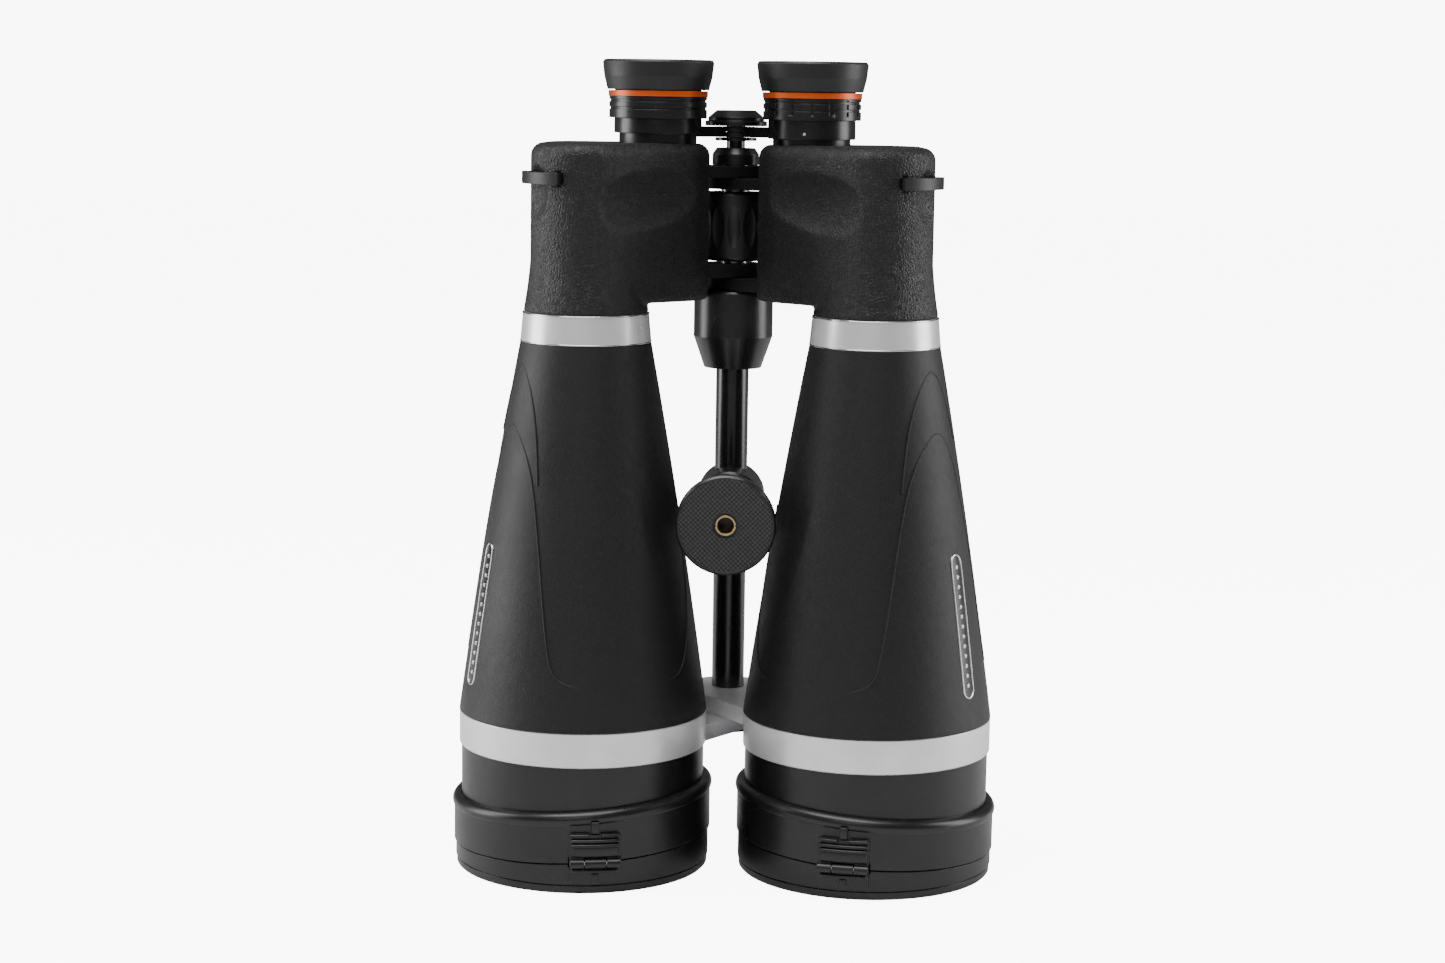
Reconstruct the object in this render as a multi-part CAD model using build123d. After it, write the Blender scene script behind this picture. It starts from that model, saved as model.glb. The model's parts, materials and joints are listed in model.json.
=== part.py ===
from build123d import *
import os
from math import asin, atan2, cos, degrees, hypot, radians, sin, sqrt

# Large-aperture Porro-prism binoculars standing on their closed objective lids.
# X runs across the two barrels, Z runs up the optical axes, and -Y is the underside,
# where the thumb rests and the tripod socket are. Lengths are in millimetres.
# The right-hand half is modelled and the left-hand half is its mirror image.

# --- layout of the axes seen from above (the objective axes lie on y = 0) ---
barrel_gap = 4.5  # centre line to the nearest point of a cap's bead
box_gap = 9.5  # centre line to the inner side of a prism box
eyepiece_back = 21.0  # eyepiece axes behind the objective axes
cone_gap = 0.474  # cone on the hinge axis to a prism box's covering

# --- heights of the stacked sections ---
front_height = 47.9  # standing face to the underside of the lower ring
lower_ring_height = 13.3
bell_length = 142.9
upper_ring_height = 11.3
tube_rise = 3.8  # tube below the prism box

# --- fits ---
running = 0.05  # radial gap of a turning or sliding fit
seat = 0.05  # radial gap where one fixed piece slips into another
face_gap = 0.3  # gap between faces that pass each other
past = 1.0  # how far a cutter reaches past what it cuts

# --- bell ---
bell_proud = 0.1  # covering outside the lower ring
bell_bulge = 0.9  # how far the bell's side swells beyond a straight cone
armour = 2.2  # thickness of the rubber covering
barrel_wall = 1.8

# --- front of the barrel and the objective ---
lens_radius = 40.6
cell_wall = 3.9
front_wall = 2.6
front_end = 17.0  # barrel's front rim above the standing face
ring_proud = 0.8  # lower ring outside the barrel's front
ring_sink = 1.15  # lower ring's bore inside the barrel's front
ring_edge = 0.4
cell_flange = 3.4
cell_bottom = 26.0
cell_height = 19.0
cell_lip = 1.6
lens_edge = 4.0
crown_swell = 2.6
flint_edge = 6.0

# --- upper ring and neck ---
upper_ring_flare = 1.1  # ring's foot and bell's top outside the housing's tube
upper_ring_inset = 0.1  # ring's top inside the housing's tube
upper_ring_bead = 0.5
neck_proud = 0.2  # neck outside the housing's bare tube
neck_wall = 3.8
spigot_length = 6.0
spigot_wall = 1.4

# --- prism housing ---
objective_lobe = 21.4
corner_lobe = 20.4
eyepiece_shoulder = 5.2  # box wall and covering round the eyepiece's tube
housing_wall = 3.8
tube_spread = 2.6  # tube outside the box's objective lobe
tube_flare = 28.0  # height over which the tube narrows into the box
flare_hollow = 0.55  # how far the flare's side curves in
flare_tuck = 0.4  # how far the flare's top ends inside the box
top_round = 5.0
bottom_round = 2.0
ledge = 1.0

# --- prisms ---
prism_room = 1.6  # box's inside to an upper prism's corner
lower_prism_extra = 0.2  # the lower prism is wider by this on each side
ridge_flat = 1.0  # how far each prism's ridge is ground off
ridge_gap = 2.09  # lower prism's ridge to the box's floor
roof_gap = 4.89  # upper prism's ridge to the box's roof
prism_gap = 1.6  # upper prism's side to the eyepiece's tube
shelf_thickness = 3.0
beam_margin = 0.5  # prism's width outside the light's way

# --- thumb rest, an oval hollow cut by a long ellipsoid ---
thumb_depth = 2.9
thumb_half_height = 11.0
thumb_length = 58.0
thumb_below_top = 21.2
thumb_tilt = 7.0

# --- strap lug ---
lug_stand_off = 3.4  # bar's outside from the box's side
lug_bar_depth = 2.6
lug_bar_height = 4.5
lug_bar_below_top = 11.0
lug_start, lug_end = -8.0, 68.0  # degrees from +X towards -Y
lug_post = 7.0
pocket_sphere = 20.0
pocket_depth = 3.0
pocket_drop = 3.0

# --- hinge column ---
shaft_radius = 3.65
shaft_clearance = 0.15
spindle_wall = 1.7
knuckle_wall = 6.0
lower_knuckle_rise = 2.8
knuckle_height = 5.0
upper_knuckle_height = 4.4
wheel_gap = 1.1
wheel_proud = 0.9  # wheel outside the knuckles
wheel_flutes = 12
flute_depth = 1.1
flute_radius = 5.0
flute_over = 3.5  # how far the spindle shape that cuts a flute reaches past the wheel
wheel_round = 1.6
drive_space_depth = 2.5  # inner track outside the spindle
drive_space_end = 3.5  # inner track to either end of the wheel
drive_pin_radius = 1.2
drive_pin_gap = 0.8
pin_below = 8.0  # shaft below its drive pin
collar_wall = 3.7
collar_taper = 1.6
collar_height = 6.6
collar_straight = 4.2
spindle_end = 1.0  # spindle's end inside the top collar
cone_proud = 4.2  # cone outside the knuckles
cone_foot_wall = 4.9
cone_height = 30.8
cone_straight = 18.4
cone_bevel = 0.8
rod_radius = 6.5
rod_socket = 12.0
foot_thickness = 3.2
foot_flange = 5.5  # foot screw's head outside the rod
foot_stem_wall = 2.5  # rod's wall round the foot screw's stem
boss_wall = 11.1
arm_root_inset = 9.2  # arm's root inside the lower ring

# --- bridge ---
bridge_lift = 2.8  # above the top collar
bridge_rise = 0.8  # above the top of the prism boxes
hub_flange_width = 4.55
hub_flange = 1.2
arm_thickness = 4.0
arm_width = 9.0
arm_hub_wall = 4.95
bridge_flange_width = 3.6
bridge_flange = 1.7
cap_height = 4.4
cap_rim_inset = 1.2
cap_rim_low, cap_rim_high = 0.4, 1.6  # straight rim above the flange
cap_slope = 3.3

# --- eyepieces ---
tube_outer = 15.0
tube_wall = 1.5
tube_depth = 16.0  # below the housing's top
guide_wall = 1.0
guide_depth = 12.0
focus_in = 1.8  # how far the eyepieces can move down from their resting height
eyepiece_collar = 1.9
left_collar_rise, right_collar_rise = 3.7, 2.2  # above the housing's top
collar_top = 7.9
neck_height = 1.5
grip_wall = 2.05
grip_height = 8.3
grip_bore_gap = 0.1
grip_floor = 0.8
accent_proud = 0.3
accent_height = 2.2
groove_width = 0.9
groove_depth = 0.5
groove_shares = (0.4, 0.75)  # heights of the two grooves up the grip ring
dash_count = 16
dash_width = 1.35
dash_height = 6.2
dash_rise = 4.6  # middle of a dash above the grip ring's foot
cup_height = 11.5
cup_foot_proud = 0.4
cup_kink_flare = 1.3
cup_kink = 5.1
cup_rim_flare = 0.6
cup_lip = 1.5
cup_edge = 0.4
cup_step = 1.0
skirt_wall = 1.6
guide_ring_height = 2.0
lens_cell_wall = 1.2
lens_cell_height = 30.0
lens_cell_below = 0.5  # cell's top below the accent ring's
cell_lip_width = 1.0
cell_lip_height = 1.5
eye_recess_step = 2.0
field_lens_thickness = 7.0
eye_lens_inset = 3.8
eye_lens_thickness = 5.0
lens_swell = 1.4
eye_recess = 6.5

# --- objective cap: a band on the barrel and a lid hinged to it ---
lid_inset = 0.6  # lid inside the band
lid_foot_inset = 0.4
lid_plate = 2.2
lid_wall = 2.0
lid_groove_height = 3.0
lid_groove = 0.6
slit_height = 11.8  # at the barrel's axis
slit_tilt = 2.9  # degrees, high towards the centre line
slit_gap = 0.8
band_wall = 2.75
bead_height = 28.5
bead_tilt = 4.2
bead_sink = 0.6  # bead's circle outside the barrel's front
bead_radius = 3.0
skirt_spare = 10.0  # band's skirt beyond its slanted ends, before they are cut
slab_size, slab_thickness = 300.0, 100.0  # the slabs that cut the slanted ends
strap_angle = 10.0  # degrees from -Y towards the centre line
strap_width = 19.2
strap_plate = 1.4
strap_top = 23.5
strap_foot = 5.0
strap_axis_proud = 0.4
strap_axis_height = 12.6
strap_knuckle = 1.8
strap_pin = 0.8
strap_middle = 8.0
strap_web_inset = 1.0  # band's knuckle webs outside its bore

# --- badge on the outer side of the bell ---
badge_rise = 11.8  # badge's foot above the bell's
badge_length = 55.0
badge_width = 7.0
badge_depth = 0.9
right_badge_angle, left_badge_angle = 35.0, 26.0  # degrees from outwards towards -Y

# --- tripod adapter ---
adapter_rise = 76.8  # socket above the bell's foot
disc_radius = 19.0
disc_stand_off = 71.0  # front face before the hinge axis
disc_edge = 0.8
disc_thickness = 5.5
pad_rim = 1.4
pad_thickness = 1.2
adapter_neck_radius = 8.5
clamp_wall = 7.0
clamp_reach = 22.0  # clamp's front before the hinge axis
clamp_depth = 34.0
clamp_bevel = 1.6
socket_radius = 3.175  # 1/4 inch tripod thread
insert_radius = 3.9
insert_recess_radius = 4.9
insert_length = 10.0
insert_sink = 0.6
spanner_slot = 1.2
knob_radius = 11.0
knob_length = 12.0
knob_gap = 0.6
knob_lobes = 6
knob_lobe_radius = 3.6
knob_lobe_share = 0.6  # how much of a lobe cutter's radius lies outside the knob
stud_radius = 3.0

# --- radii worked out from the sizes above ---
front_radius = lens_radius + cell_wall + front_wall + 2 * seat
ring_radius = front_radius + ring_proud
ring_bore = front_radius - ring_sink
band_radius = front_radius + seat + band_wall
bead_ring_radius = front_radius + bead_sink
lid_radius = band_radius - lid_inset
lid_foot_radius = lid_radius - lid_foot_inset
strap_plate_radius = band_radius + strap_plate
strap_axis_radius = strap_plate_radius + strap_axis_proud
tube_radius = objective_lobe + tube_spread
upper_ring_top_radius = tube_radius - upper_ring_inset
neck_radius = tube_radius - armour + neck_proud
neck_bore = neck_radius - neck_wall
bell_small_radius = tube_radius + upper_ring_flare
bell_large_radius = ring_radius + bell_proud
eyepiece_lobe = tube_outer + eyepiece_shoulder
lug_bar_radius = objective_lobe + lug_stand_off
prism_corner = min(eyepiece_lobe, corner_lobe, objective_lobe) - armour - housing_wall - prism_room
prism_half_width = prism_corner * cos(radians(45))
lower_half_width = prism_half_width + lower_prism_extra
beam_radius = prism_half_width - beam_margin
spindle_bore = shaft_radius + shaft_clearance
spindle_radius = spindle_bore + spindle_wall
knuckle_radius = spindle_radius + knuckle_wall
wheel_radius = knuckle_radius + wheel_proud
drive_space_radius = spindle_radius + drive_space_depth
drive_pin_reach = drive_space_radius - drive_pin_gap
collar_radius = spindle_radius + collar_wall
collar_top_radius = collar_radius - collar_taper
cone_radius = knuckle_radius + cone_proud
cone_foot_radius = rod_radius + cone_foot_wall
foot_radius = rod_radius + foot_flange
foot_stem_radius = rod_radius - foot_stem_wall
boss_radius = rod_radius + boss_wall
arm_root_radius = ring_radius - arm_root_inset
hub_flange_radius = shaft_radius + hub_flange_width
arm_hub_radius = shaft_radius + arm_hub_wall
bridge_flange_radius = arm_hub_radius + bridge_flange_width
cap_rim_radius = bridge_flange_radius - cap_rim_inset
cap_top_radius = cap_rim_radius - cap_slope
eyepiece_collar_radius = tube_outer + eyepiece_collar
grip_bore = tube_outer + running + skirt_wall + 2 * grip_bore_gap
grip_radius = grip_bore + grip_wall
accent_radius = grip_radius + accent_proud
cup_foot_radius = accent_radius + cup_foot_proud
cup_kink_radius = cup_foot_radius + cup_kink_flare
cup_rim_radius = cup_kink_radius + cup_rim_flare
eye_lens_radius = tube_outer - eye_lens_inset
pad_radius = disc_radius - pad_rim
clamp_radius = rod_radius + clamp_wall

# --- axes worked out from the sizes above, from the centre line and the objective axes ---
eyepiece_offset = eyepiece_lobe + box_gap
room_for_caps = bead_ring_radius + bead_radius + barrel_gap
room_for_prisms = eyepiece_offset + tube_outer + prism_gap + prism_half_width
barrel_offset = max(room_for_caps, room_for_prisms)
hinge_to_eyepiece = eyepiece_lobe + cone_radius + cone_gap
hinge_back = eyepiece_back + sqrt(hinge_to_eyepiece**2 - eyepiece_offset**2)

# --- prism box worked out from the prisms it holds ---
upper_length = eyepiece_back + 2 * prism_half_width
lower_length = barrel_offset - eyepiece_offset + 2 * lower_half_width
box_floor = armour + housing_wall - ledge
shelf_height = box_floor + ridge_gap + lower_length / 2 - ridge_flat
upper_ridge = shelf_height + shelf_thickness + upper_length / 2 - ridge_flat
housing_height = upper_ridge + roof_gap + housing_wall + armour

# --- places worked out from the sizes above ---
ring_bottom = front_height
bell_bottom = ring_bottom + lower_ring_height
bell_top = bell_bottom + bell_length
tube_bottom = bell_top + upper_ring_height
box_bottom = tube_bottom + tube_rise
box_top = box_bottom + housing_height

lower_knuckle = box_bottom + lower_knuckle_rise
lower_knuckle_top = lower_knuckle + 2 * knuckle_height + face_gap
wheel_bottom = lower_knuckle_top + wheel_gap
bridge_bottom = box_top + bridge_rise
column_top = bridge_bottom - bridge_lift
collar_bottom = column_top - collar_height
upper_knuckle_top = collar_bottom - face_gap
upper_knuckle = upper_knuckle_top - 2 * upper_knuckle_height - face_gap
wheel_top = upper_knuckle - wheel_gap
wheel_height = wheel_top - wheel_bottom
drive_space_height = wheel_height - 2 * drive_space_end
flute_reach = wheel_height / 2 + flute_over
arm_bottom = bridge_bottom + hub_flange + face_gap
arm_top = arm_bottom + arm_thickness
bridge_top = arm_top + face_gap + bridge_flange
cone_top = lower_knuckle - face_gap
cone_bottom = cone_top - cone_height

eyepiece_base = box_top + collar_top
grip_bottom = eyepiece_base + neck_height
grip_top = grip_bottom + grip_height
accent_top = grip_top + accent_height
cup_bottom = accent_top + face_gap
cup_top = cup_bottom + cup_height

badge_middle = bell_bottom + badge_rise + badge_length / 2
adapter_height = bell_bottom + adapter_rise
clamp_front = hinge_back - clamp_reach
clamp_back = clamp_front + clamp_depth
disc_face = hinge_back - disc_stand_off

objective_axis = (barrel_offset, 0)
eyepiece_axis = (eyepiece_offset, eyepiece_back)
corner_axis = (barrel_offset, eyepiece_back)
hinge_axis = (0, hinge_back)
knob_back = clamp_back + knob_gap + knob_length
strap_reach = (strap_axis_radius + strap_knuckle) * cos(radians(strap_angle))
front_reach = strap_reach + strap_width / 2 * sin(radians(strap_angle))
origin_y = (knob_back - front_reach) / 2  # middle of the whole depth


def at(axis, height=0.0):
    """A place on a vertical axis at a height."""
    return Pos(axis[0], axis[1], height)


def rod(axis, radius, low, high):
    """A vertical cylinder between two heights."""
    return at(axis, (low + high) / 2) * Cylinder(radius, high - low)


def tube(axis, outer, inner, low, high):
    """A vertical tube between two heights."""
    return rod(axis, outer, low, high) - rod(axis, inner, low - past, high + past)


def turned(axis, points):
    """A solid turned about a vertical axis from (radius, height) points."""
    return swept_round(axis, Polyline(*points, close=True))


def swept_round(axis, outline):
    """A solid turned about a vertical axis from a closed outline of radius and height."""
    return at(axis) * revolve(Plane.XZ * make_face(outline), Axis.Z)


def turned_y(outline, height):
    """A solid turned about a fore-and-aft axis from (radius, y) points."""
    face = make_face(Polyline(*outline, close=True))
    return Pos(0, 0, height) * revolve(face, Axis.Y)


def slab(axis, height, tilt):
    """A wide slab with its underside on a plane that is high towards the centre line."""
    place = at(axis, height) * Rot(0, tilt, 0) * Pos(0, 0, slab_thickness / 2)
    return place * Box(slab_size, slab_size, slab_thickness)


def pill(start, end, start_radius, end_radius, low, high):
    """A solid round the hull of two circles."""
    edges = (at(start) * Circle(start_radius)).edges() + (at(end) * Circle(end_radius)).edges()
    return Pos(0, 0, low) * extrude(make_hull(edges), high - low)


# --- housing ---
def housing_plan(inset):
    """The prism box's outline seen from above, moved in by an inset."""
    edges = (
        (at(objective_axis) * Circle(objective_lobe - inset)).edges()
        + (at(eyepiece_axis) * Circle(eyepiece_lobe - inset)).edges()
        + (at(corner_axis) * Circle(corner_lobe - inset)).edges()
    )
    return make_hull(edges)


def housing_form(inset):
    """The outer form of the prism box and its flared tube, moved in by an inset."""
    box = Pos(0, 0, box_bottom + inset) * extrude(housing_plan(inset), housing_height - 2 * inset)
    box = fillet(box.faces().sort_by(Axis.Z)[-1].edges(), top_round - inset)
    box = fillet(box.faces().sort_by(Axis.Z)[0].edges(), bottom_round)
    low = (tube_radius - inset, tube_bottom)
    high = (objective_lobe - inset - flare_tuck, tube_bottom + tube_flare)
    middle = ((low[0] + high[0]) / 2 - flare_hollow, (low[1] + high[1]) / 2)
    flare = ThreePointArc(low, middle, high)
    ends = Polyline(high, (0, high[1]), (0, low[1]), low)
    return box + swept_round(objective_axis, flare + ends)


def thumb_hollow(growth):
    """The ellipsoid that hollows the thumb rest, grown by the covering it passes through."""
    across = (thumb_half_height**2 + thumb_depth**2) / (2 * thumb_depth) + growth
    along = thumb_length + growth
    run = Vector(eyepiece_offset - barrel_offset, eyepiece_back, 0)
    lean = degrees(asin((objective_lobe - eyepiece_lobe) / run.length))
    out = Vector(-run.Y, run.X, 0).normalized().rotate(Axis.Z, lean)
    middle = Vector((barrel_offset + eyepiece_offset) / 2, eyepiece_back / 2, 0)
    surface = (objective_lobe + eyepiece_lobe) / 2
    centre = middle + out * (surface + across - growth - thumb_depth)
    half = Ellipse(along, across) - Pos(0, -across) * Rectangle(2 * along, 2 * across)
    egg = revolve(half, Axis.X)
    heading = degrees(atan2(run.Y, run.X))
    place = Pos(centre.X, centre.Y, box_top - thumb_below_top)
    return place * Rot(0, 0, heading) * Rot(0, -thumb_tilt, 0) * egg


def around(axis, angle, radius, height=0.0):
    """A place beside a vertical axis, at an angle from +X towards -Y, facing outwards."""
    x = axis[0] + radius * cos(radians(angle))
    y = axis[1] - radius * sin(radians(angle))
    return Pos(x, y, height) * Rot(0, 0, -angle)


def wedge(axis, start, end, radius, low, high):
    """A slice of a cylinder between two angles measured from +X towards -Y."""
    upright = (Align.NONE, Align.NONE, Align.CENTER)
    sector = Cylinder(radius, high - low, end - start, align=upright)
    return at(axis, (low + high) / 2) * Rot(0, 0, -end) * sector


def strap_pocket(growth):
    """The ball that hollows the shoulder under the strap lug, grown by the covering."""
    angle = (lug_start + lug_end) / 2
    height = box_top - lug_bar_below_top - lug_bar_height - pocket_drop
    reach = objective_lobe + pocket_sphere - pocket_depth
    return around(objective_axis, angle, reach, height) * Sphere(pocket_sphere + growth)


def strap_lug():
    """A flat bar that stands off the shoulder, held by a post at each end."""
    top = box_top - lug_bar_below_top
    low = top - lug_bar_height
    span = wedge(objective_axis, lug_start, lug_end, lug_bar_radius, low, top)
    bar = span - rod(objective_axis, lug_bar_radius - lug_bar_depth, low - past, top + past)
    root = objective_lobe - housing_wall
    posts = wedge(objective_axis, lug_start, lug_start + lug_post, lug_bar_radius, low, top)
    posts += wedge(objective_axis, lug_end - lug_post, lug_end, lug_bar_radius, low, top)
    return bar + (posts - rod(objective_axis, root, low - past, top + past))


def hinge_lug(low, height):
    """One knuckle of the main hinge with its web into the housing."""
    web = pill(hinge_axis, eyepiece_axis, knuckle_radius, knuckle_radius, low, low + height)
    return web - rod(hinge_axis, spindle_radius + running, low - past, low + height + past)


def beam_holes(low, high, radius):
    """The light's three ways through the prism shelf."""
    holes = rod(objective_axis, radius, low, high)
    holes += rod(corner_axis, radius, low, high)
    return holes + rod(eyepiece_axis, radius, low, high)


def housing(lug_lift):
    """The prism housing casting and its rubber covering."""
    core = housing_form(armour) - thumb_hollow(armour) - strap_pocket(armour)
    shelf = box_bottom + shelf_height
    inset = armour + housing_wall
    floor = box_bottom + box_floor
    low_room = extrude(Pos(0, 0, floor) * housing_plan(inset + ledge), shelf - floor)
    high_room = extrude(Pos(0, 0, shelf) * housing_plan(inset), box_top - inset - shelf)
    guide_top = box_top - armour
    guide_radius = tube_outer + running + guide_wall
    guide = rod(eyepiece_axis, guide_radius, guide_top - guide_depth, guide_top - housing_wall)
    guide -= thumb_hollow(armour)
    lower = hinge_lug(lower_knuckle + lug_lift * (knuckle_height + face_gap), knuckle_height)
    upper_rise = upper_knuckle_height + face_gap
    upper = hinge_lug(upper_knuckle + lug_lift * upper_rise, upper_knuckle_height)
    spigot_foot = tube_bottom - spigot_length
    spigot = tube(objective_axis, neck_bore - seat, neck_bore - seat - spigot_wall, spigot_foot, floor)
    casting = core + lower + upper
    covering = housing_form(0) - thumb_hollow(0) - strap_pocket(0) - casting
    covering -= strap_lug()
    covering -= rod(eyepiece_axis, tube_outer + face_gap, guide_top - past, box_top + past)
    casting += strap_lug()
    casting -= low_room
    casting -= high_room
    casting -= rod(objective_axis, neck_bore - seat - spigot_wall, tube_bottom - past, floor + past)
    casting += spigot
    casting += guide
    tube_low = box_top - tube_depth - focus_in - face_gap
    casting -= rod(eyepiece_axis, tube_outer + running, tube_low, guide_top + past)
    return casting, covering


def prism(length, half_width, ridge_up):
    """A right-angle prism lying on its long face, with its ridge across X."""
    ridge = length / 2 if ridge_up else -length / 2
    face = make_face(Polyline((-length / 2, 0), (length / 2, 0), (0, ridge), close=True))
    body = extrude(Plane.XZ * face, half_width, both=True)
    return body - Pos(0, 0, ridge) * Box(length, 2 * length, 2 * ridge_flat)


def prism_set():
    """The shelf and the two prisms that fold the light across to the eyepiece."""
    shelf = box_bottom + shelf_height
    shelf_top = shelf + shelf_thickness
    plan = housing_plan(armour + housing_wall + seat)
    plate = Pos(0, 0, shelf) * extrude(plan, shelf_thickness)
    plate -= beam_holes(shelf - past, shelf_top + past, beam_radius)
    upper_place = at((barrel_offset, eyepiece_back / 2), shelf_top) * Rot(0, 0, 90)
    upper = upper_place * prism(upper_length, prism_half_width, True)
    lower_place = at(((barrel_offset + eyepiece_offset) / 2, eyepiece_back), shelf)
    lower = lower_place * prism(lower_length, lower_half_width, False)
    return plate, Compound(children=[upper, lower])


# --- barrel ---
def bell_side(inset, low, high):
    """The bell's swelling side, moved in by an inset, as an arc from its foot to its top."""
    foot = (bell_large_radius - inset, low)
    top = (bell_small_radius - inset, high)
    middle = ((foot[0] + top[0]) / 2 + bell_bulge, (low + high) / 2)
    return ThreePointArc(foot, middle, top)


def badge_place(angle):
    """Where the badge lies: on the bell's outer side, leaning with it."""
    lean = degrees(atan2(bell_large_radius - bell_small_radius, bell_length))
    share = (badge_middle - bell_bottom) / bell_length
    swell = 4 * bell_bulge * share * (1 - share)
    radius = bell_large_radius + (bell_small_radius - bell_large_radius) * share + swell
    return around(objective_axis, angle, radius, badge_middle) * Rot(0, -lean, 0)


def badge_form(width, depth):
    """A round-ended bar that stands along the bell's side."""
    outline = SlotOverall(badge_length, width)
    return extrude(Plane.YZ * Rot(0, 0, 90) * outline, depth, both=True)


def barrel(badge_angle):
    """The objective barrel, its rubber covering, the badge and the two metal rings."""
    outer = bell_side(armour, bell_bottom, bell_top)
    inner = bell_side(armour + barrel_wall, bell_bottom, bell_top)
    shoulder = neck_radius - seat
    outside = outer + Polyline(
        outer @ 1, (shoulder, bell_top), (shoulder, tube_bottom - seat), (0, tube_bottom - seat),
        (0, front_end), (front_radius, front_end), (front_radius, ring_bottom),
        (ring_bore - seat, ring_bottom), (ring_bore - seat, bell_bottom), outer @ 0,
    )
    cell_bore = front_radius - front_wall
    inside = inner + Polyline(
        inner @ 1, (neck_bore, bell_top), (neck_bore, tube_bottom + past), (0, tube_bottom + past),
        (0, front_end - past), (cell_bore, front_end - past), (cell_bore, cell_bottom + cell_height),
        inner @ 0,
    )
    shell = swept_round(objective_axis, outside) - swept_round(objective_axis, inside)
    skin_out = bell_side(0, bell_bottom, bell_top)
    skin_in = bell_side(armour, bell_bottom, bell_top)
    skin = skin_out + Line(skin_out @ 1, skin_in @ 1) + skin_in + Line(skin_in @ 0, skin_out @ 0)
    covering = swept_round(objective_axis, skin)
    covering -= badge_place(badge_angle) * badge_form(badge_width + 2 * seat, badge_depth)
    badge = badge_place(badge_angle) * badge_form(badge_width, badge_depth)
    badge = badge & (swept_round(objective_axis, skin_out + Polyline(
        skin_out @ 1, (0, bell_top), (0, bell_bottom), skin_out @ 0)))
    return shell, covering, badge


def upper_ring():
    """The bright ring where the barrel screws to the housing."""
    bead = upper_ring_bead
    return turned(objective_axis, [
        (neck_radius, bell_top), (bell_small_radius - bead, bell_top),
        (bell_small_radius, bell_top + bead), (upper_ring_top_radius + bead / 2, tube_bottom - bead),
        (upper_ring_top_radius - bead / 2, tube_bottom), (neck_radius, tube_bottom),
    ])


def lower_ring(upper_arm):
    """The bright ring round the barrel, cast with one arm of the lower hinge."""
    edge = ring_edge
    ring = turned(objective_axis, [
        (ring_bore, ring_bottom), (ring_radius - edge, ring_bottom), (ring_radius, ring_bottom + edge),
        (ring_radius, bell_bottom - edge), (ring_radius - edge, bell_bottom), (ring_bore, bell_bottom),
    ])
    half = (lower_ring_height - face_gap) / 2
    low = bell_bottom - half if upper_arm else ring_bottom
    arm = pill(hinge_axis, objective_axis, boss_radius, arm_root_radius, low, low + half)
    arm -= rod(objective_axis, ring_bore, low - past, low + half + past)
    beyond = Rot(0, 0, degrees(atan2(-hinge_back, barrel_offset)))
    reach = hypot(barrel_offset, hinge_back)
    cutter = Box(2 * ring_radius, 4 * ring_radius, 4 * lower_ring_height)
    arm -= at(hinge_axis, low) * beyond * Pos(reach + ring_radius, 0, 0) * cutter
    arm -= rod(hinge_axis, foot_stem_radius + running, low - past, low + half + past)
    return ring + arm


def dome_ball(axis, radius, swell, rim):
    """The ball that swells past a rim of a given radius, up for a positive swell."""
    ball = (radius**2 + swell**2) / (2 * abs(swell))
    centre = rim + swell - ball if swell > 0 else rim + swell + ball
    return at(axis, centre) * Sphere(ball)


def objective():
    """The lens cell and the two glasses of the objective."""
    bore = front_radius - front_wall
    lens_seat = lens_radius + seat
    cell = turned(objective_axis, [
        (bore - seat, cell_bottom), (bore - seat, cell_bottom + cell_height),
        (lens_radius - cell_lip, cell_bottom + cell_height),
        (lens_radius - cell_lip, cell_bottom + cell_height - cell_flange),
        (lens_seat, cell_bottom + cell_height - cell_flange), (lens_seat, cell_bottom),
    ])
    rear = cell_bottom + cell_height - cell_flange
    join = rear - flint_edge
    front = join - lens_edge
    joint = dome_ball(objective_axis, lens_radius, crown_swell, join)
    nose = dome_ball(objective_axis, lens_radius, -crown_swell, front)
    crown = rod(objective_axis, lens_radius, front - crown_swell - past, join + crown_swell + past)
    crown = crown & joint & nose
    flint = rod(objective_axis, lens_radius, join, rear) - joint
    return cell, crown, flint


# --- objective cap ---
def strap_place(height=0.0):
    """The place below the strap hinge's middle, with local X pointing outwards."""
    angle = 90 + strap_angle
    return at(objective_axis, height) * Rot(0, 0, -angle)


def strap_block(inner, outer, low, high, width, offset=0.0):
    """A piece of a ring under the strap, cut to a width across the hinge."""
    ring = tube((0, 0), outer, inner, low, high)
    window = Pos(outer, offset, (low + high) / 2) * Box(outer, width, high - low)
    return strap_place() * (ring & window)


def strap_roll(radius, width, offset=0.0):
    """A round bar along the strap hinge's axis."""
    place = strap_place() * Pos(strap_axis_radius, offset, strap_axis_height)
    return place * Rot(90, 0, 0) * Cylinder(radius, width)


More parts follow.
